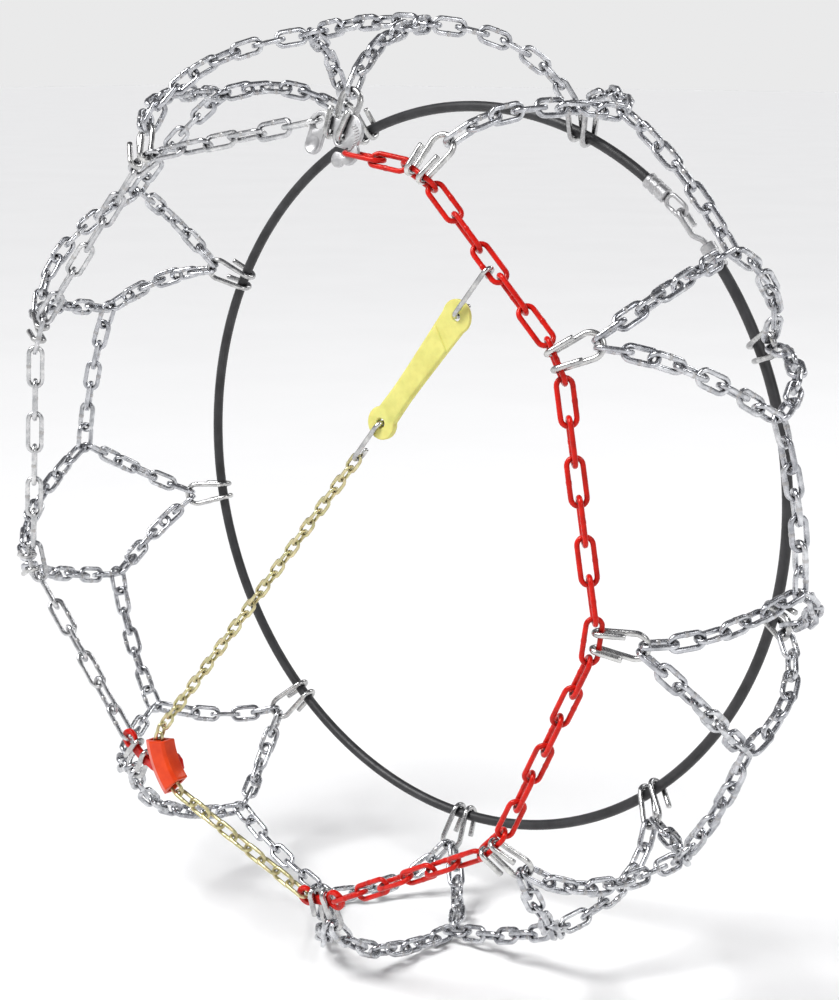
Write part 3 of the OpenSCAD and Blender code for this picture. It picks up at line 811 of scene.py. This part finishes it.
def thick_waist():
    """The thick waist, which starts in a slanted ledge below the upper head."""
    origin, axes = strap_frame()
    outline = [[15.5, -9.3], [30, -8.9], [70, -7.4], [90, -7.8], [96, -5.5],
               [96, 5.5], [90, 7.8], [70, 7.4], [30, 8.9], [22.5, 9.1]]
    top = STRAP_T / 2 + 0.05 * MM
    return slab([rounded(outline, 1.5, 4) * MM], -top, top, 1.3 * MM, origin, axes)


plate("rubber_strap", LOOKS["strap_rubber"], 1.1 * MM, 2, [thick_waist()], slab_change=thin_head)


# ---- the lock ----
LOCK_MID = np.array([-112, -124, -206]) * MM
LOCK_CURVE = 60 * MM
LOCK_L, LOCK_W, LOCK_D = 38 * MM, 22 * MM, 15 * MM
LOCK_WALL, LOCK_FLOOR = 3.2 * MM, 2.4 * MM
PIN_AT = math.radians(4)
PIN_Z = -0.6 * MM


def lock_axes():
    """Centre of the lock's curve; X to the channel, Y up along it, Z out of the wheel."""
    up = np.array([-0.45, 0, 0.89]) / math.hypot(0.45, 0.89)
    side = np.array([up[2], 0, -up[0]])
    return LOCK_MID + LOCK_CURVE * side, np.array([-side, up, [0.0, -1.0, 0.0]])


def lock_point(section, angle):
    """A cross-section (distance from the curve's line, height) placed at an angle along the channel."""
    centre, axes = lock_axes()
    r = LOCK_CURVE + section[:, 0]
    return centre + np.stack([r * math.cos(angle), r * math.sin(angle), section[:, 1]], 1) @ axes


def lock_body():
    """A curved channel with two broad outer facets, softened edges and eased mouths."""
    w, d = LOCK_W / 2, LOCK_D / 2
    outer = np.array([(-w, -d), (w, -d), (w, d - 5 * MM), (2 * MM, d), (-w + 2 * MM, d - 2 * MM),
                      (-w, d - 4 * MM)])
    low, high = -d + LOCK_FLOOR, d - 2 * LOCK_FLOOR
    inner = np.array([(-w + LOCK_WALL, low), (w - LOCK_WALL, low), (w - LOCK_WALL, high),
                      (-w + LOCK_WALL, high)])
    ease = 0.7 * MM
    half = LOCK_L / 2 / LOCK_CURVE
    outer_loop, inner_loop = rounded(outer, 1.0 * MM), rounded(inner, 0.8 * MM)
    middle = outer.mean(0)
    rings = []
    stations = [(-half, 1), (-half + ease / 3 / LOCK_CURVE, 0.35), (-half + ease / LOCK_CURVE, 0)]
    stations += [(a, 0) for a in np.linspace(-half, half, 20)[1:-1]]
    stations += [(-a, share) for a, share in stations[2::-1]]
    for angle, share in stations:
        away = outer_loop - middle
        shrink = away / np.linalg.norm(away, axis=1)[:, None] * ease * share
        rings.append((lock_point(outer_loop - shrink, angle), lock_point(inner_loop, angle)))
    n_out, n_in = len(outer_loop), len(inner_loop)
    outside = plain_mesh(np.concatenate([r[0] for r in rings]), ring_faces(len(rings), n_out, False))
    inside_faces = [face[::-1] for face in ring_faces(len(rings), n_in, False)]
    inside = plain_mesh(np.concatenate([r[1] for r in rings]), inside_faces)
    return [outside, inside] + [mouth(*rings[k], flip) for k, flip in ((0, True), (-1, False))]


def mouth(outer, inner, flip):
    """The flat rim between the outer and the inner outline at one end of the lock."""
    n_out, n_in = len(outer), len(inner)
    first = int(np.argmin(((inner - outer[0]) ** 2).sum(1)))
    faces, i, j = [], 0, 0
    while i < n_out or j < n_in:
        a, b = i % n_out, n_out + (first + j) % n_in
        if j >= n_in or (i < n_out and (i + 1) / n_out <= (j + 1) / n_in):
            faces.append((a, (i + 1) % n_out, b))
            i += 1
        else:
            faces.append((a, n_out + (first + j + 1) % n_in, b))
            j += 1
    faces = [face[::-1] for face in faces] if flip else faces
    return plain_mesh(np.concatenate([outer, inner]), faces)


def lock_pin():
    """The pawl's pin, whose two ends sit in blind holes in the walls."""
    centre, axes = lock_axes()
    along = np.array([math.cos(PIN_AT), math.sin(PIN_AT), 0])
    at = centre + (LOCK_CURVE * along + [0, 0, PIN_Z]) @ axes
    half, head, dome = LOCK_W / 2 - 0.8 * MM, 1.6 * MM, 0.25 * MM
    profile = [(0, -half - dome), (head * 0.6, -half - dome * 0.8), (head, -half), (head, half),
               (head * 0.6, half + dome * 0.8), (0, half + dome)]
    return [lathe(profile, at, along @ axes, 24)]


settle(joined_piece("lock_body_shell", lock_body(), LOOKS["lock_plastic"]), "lock_body")
settle(joined_piece("lock_pin_rivet", lock_pin(), LOOKS["zinc_wire"]), "lock_pin")
plate("lock_pawl", LOOKS["gold_passivated"], 0.3 * MM)


# ---- the inner hoop ----
HOOP_R = 284 * MM
HOOP_Y = 108 * MM
GAP_AT, GAP = 43, 12       # degrees: where the cable's two ends meet, and the stretch without cable
CABLE_IN = 14 * MM
SLEEVE_L = 20 * MM
EYE_L, EYE_W, EYE_WIRE = 22 * MM, 13 * MM, 3.4 * MM
EYE_OUT = 10.4 * MM        # from the sleeve's end to the eye's middle


def on_hoop(angle):
    """A point of the cable's centre line; the angle runs from the top towards +X."""
    a = math.radians(angle)
    return np.array([HOOP_R * math.sin(a), HOOP_Y, HOOP_R * math.cos(a)])


def cable():
    """The sheathed cable, open where its two ends meet."""
    angles = np.linspace(GAP_AT + GAP / 2, GAP_AT + 360 - GAP / 2, 260)
    made = plain_mesh(*tube([on_hoop(a) for a in angles], HOOP_WIRE / 2, 20))
    settle(joined_piece("inner_cable_hoop", [made], LOOKS["cable_sheath"]), "inner_cable")


def cable_end(sign):
    """Origin and axes of a cable end: X towards the other end, Z away from the wheel."""
    angle = GAP_AT - sign * (GAP / 2 + math.degrees(CABLE_IN / 2 / HOOP_R))
    a = math.radians(angle)
    x = sign * np.array([math.cos(a), 0, -math.sin(a)])
    return on_hoop(angle) - x * CABLE_IN / 2, np.array([x, np.cross(Y, x), Y])


def sleeve(origin, axes):
    """A crimped sleeve: two pressed waists and a rolled mouth."""
    r, crimp = 6 * MM, 0.7 * MM
    profile = [(4.3 * MM, 1.5 * MM), (4.4 * MM, 0.1 * MM), (5.2 * MM, 0), (r, 0.8 * MM)]
    for start in (5 * MM, 12 * MM):
        profile += [(r, start - 1.6 * MM), (r - crimp, start - 0.9 * MM), (r - crimp, start + 0.9 * MM),
                    (r, start + 1.6 * MM)]
    profile += [(r, SLEEVE_L - 1 * MM), (r - 1 * MM, SLEEVE_L), (0, SLEEVE_L)]
    return lathe(profile, origin, axes[0])


def cable_hook():
    """The hook passes through the eye; its shank bends in towards the hoop's curve on the way."""
    origin, axes = cable_end(-1)
    neck, bend, wire = SLEEVE_L, 5.2 * MM, 4.2 * MM
    reach, inward, dip = 27 * MM, -2.6 * MM, 10 * MM
    tip = arc([neck + reach, inward, 0], bend, -90, 90, X, Z, 14)
    shank = [(t, (1 - math.cos(math.pi * t)) / 2) for t in np.linspace(0, 1, 9)]
    path = np.concatenate([
        [[neck - 1 * MM, 0, 0]], [[neck + 2 * MM + t * dip, s * inward, -s * bend] for t, s in shank], tip,
        [[neck + reach - 9 * MM, inward, bend]]])
    hook = plain_mesh(*tube(origin + path @ axes, wire / 2, 18))
    made = joined_piece("inner_cable_hook_end", [sleeve(origin, axes), hook], LOOKS["zinc_forged"])
    settle(made, "inner_cable_hook")


def cable_eye():
    """The eye is a link whose near end is crimped in its sleeve."""
    origin, axes = cable_end(1)
    local, faces, _, _ = link_shape(EYE_L, EYE_W, EYE_WIRE, ROUND)
    ring = plain_mesh(origin + (local + [SLEEVE_L + EYE_OUT, 0, 0]) @ axes, faces)
    made = joined_piece("inner_cable_eye_end", [sleeve(origin, axes), ring], LOOKS["zinc_forged"])
    settle(made, "inner_cable_eye")


cable()
cable_hook()
cable_eye()


# ---- studio ----
FLOOR_SIZE, FLOOR_DROP = 60.0, 0.2 * MM
CAMERA_AT = (1.04570, -1.19511, 0.32657)


def floor():
    """A pale floor just below the chain's lowest point."""
    bpy.ops.mesh.primitive_plane_add(size=FLOOR_SIZE, location=(0, 0, CAD_BOX[0].z - FLOOR_DROP))
    made = bpy.context.object
    made.name = "floor"
    look = Look("pale_floor", Roughness=0.8)
    look.colour(look.ramp(look.noise(0.4, 3), (0.92, 0.92, 0.92), (0.94, 0.94, 0.94)))
    made.data.materials.append(look.material)


def aimed(name, kind, place, power, **settings):
    """A lamp of one kind that points at the wheel's centre."""
    light = bpy.data.lights.new(name, kind)
    light.energy = power
    for key, value in settings.items():
        setattr(light, key, value)
    made = bpy.data.objects.new(name, light)
    made.location = place
    made.rotation_euler = (-Vector(place)).to_track_quat("-Z", "Y").to_euler()
    bpy.context.scene.collection.objects.link(made)


def camera():
    """The photograph's view of the wheel, framed by the lens and its shift."""
    place = Vector(CAMERA_AT)
    data = bpy.data.cameras.new("camera")
    data.sensor_width = 36
    data.lens = 77.79
    data.shift_x = 0.0378
    data.shift_y = -0.0066
    made = bpy.data.objects.new("camera", data)
    made.location = place
    made.rotation_euler = (-place).to_track_quat("-Z", "Y").to_euler()
    bpy.context.scene.collection.objects.link(made)
    bpy.context.scene.camera = made


def room():
    """A room that is pale to a little above eye level, with a dim ceiling that polished wire can mirror."""
    world = bpy.data.worlds.new("room")
    world.use_nodes = True
    bpy.context.scene.world = world
    tree = world.node_tree
    place = tree.nodes.new("ShaderNodeTexCoord")
    split = tree.nodes.new("ShaderNodeSeparateXYZ")
    ramp = tree.nodes.new("ShaderNodeValToRGB")
    pale, dim = ramp.color_ramp.elements
    pale.position, pale.color = 0.16, (0.822, 0.822, 0.824, 1)
    dim.position, dim.color = 0.42, (0.13, 0.13, 0.14, 1)
    tree.links.new(place.outputs["Generated"], split.inputs[0])
    tree.links.new(split.outputs["Z"], ramp.inputs["Fac"])
    tree.links.new(ramp.outputs["Color"], tree.nodes["Background"].inputs["Color"])


floor()
aimed("sun", "SUN", (-1.0, -2.2, 3.4), 2.8, angle=math.radians(25))
aimed("key", "AREA", (-1.6, -2.2, 2.4), 26, size=0.9)
aimed("side", "AREA", (2.6, -0.6, 1.6), 14, size=0.9)
aimed("back", "AREA", (0.8, 2.4, 2.2), 18, size=1.0)
camera()
room()
bpy.context.scene.view_settings.view_transform = "Standard"
